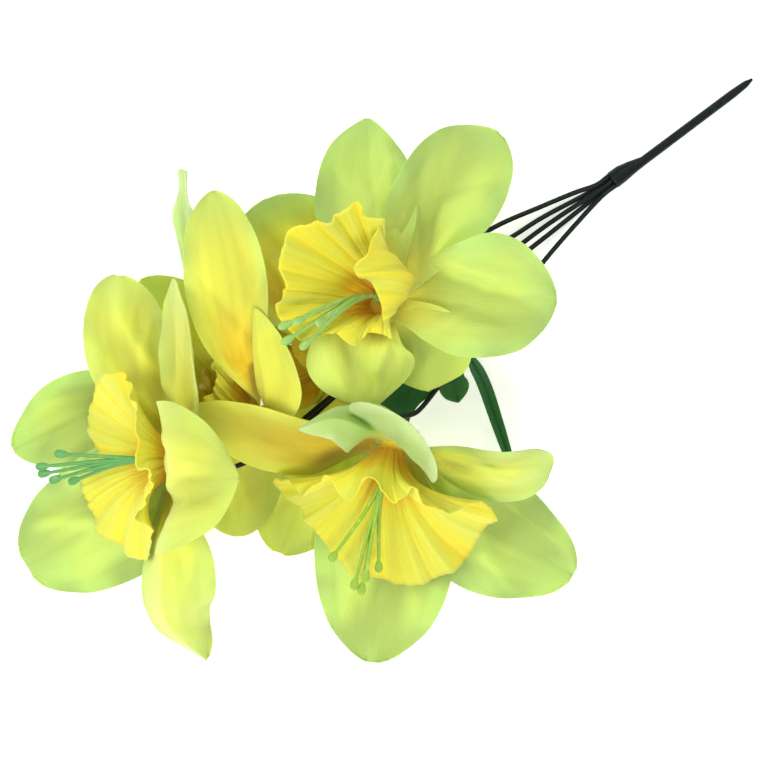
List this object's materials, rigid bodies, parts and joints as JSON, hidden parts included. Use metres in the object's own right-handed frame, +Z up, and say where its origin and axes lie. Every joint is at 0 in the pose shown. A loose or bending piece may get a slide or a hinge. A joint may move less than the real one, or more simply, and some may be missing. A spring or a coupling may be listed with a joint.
{
  "type": "artificial daffodil bunch",
  "caption": "Artificial daffodil bunch lying on its side: silk blooms with pleated trumpets and moulded stamens on coated wires that fan from a single pointed stem.",
  "frame": {"origin": "centre of the bunch's bounding box, at the height of the surface that it lies on", "axes": "+X along the main stem towards its pointed end, +Z up from the surface, +Y to the left of the stem seen from above"},
  "size_m": [0.3145, 0.2004, 0.0745],
  "materials": {
    "petal": "matte woven silk, printed green at the margins to yellow at the root",
    "trumpet": "matte woven silk, pleated and heat set",
    "stamen": "moulded, satin",
    "calyx": "moulded, satin",
    "wire": "plastic coating over steel wire",
    "stem": "moulded, slightly glossy",
    "leaf": "stiffened ribbon"
  },
  "bodies": {
    "root": {"main_stem": "stem", "wire_a": "wire", "calyx_a": "calyx", "petals_a": "petal", "trumpet_a": "trumpet", "stamens_a": "stamen", "wire_b": "wire", "calyx_b": "calyx", "petals_b": "petal", "trumpet_b": "trumpet", "stamens_b": "stamen", "wire_c": "wire", "calyx_c": "calyx", "petals_c": "petal", "trumpet_c": "trumpet", "stamens_c": "stamen", "wire_d": "wire", "calyx_d": "calyx", "petals_d": "petal", "trumpet_d": "trumpet", "stamens_d": "stamen", "wire_e": "wire", "calyx_e": "calyx", "petals_e": "petal", "trumpet_e": "trumpet", "stamens_e": "stamen", "leaf_1": "leaf", "leaf_2": "leaf", "leaf_3": "leaf"}
  },
  "joints": []
}
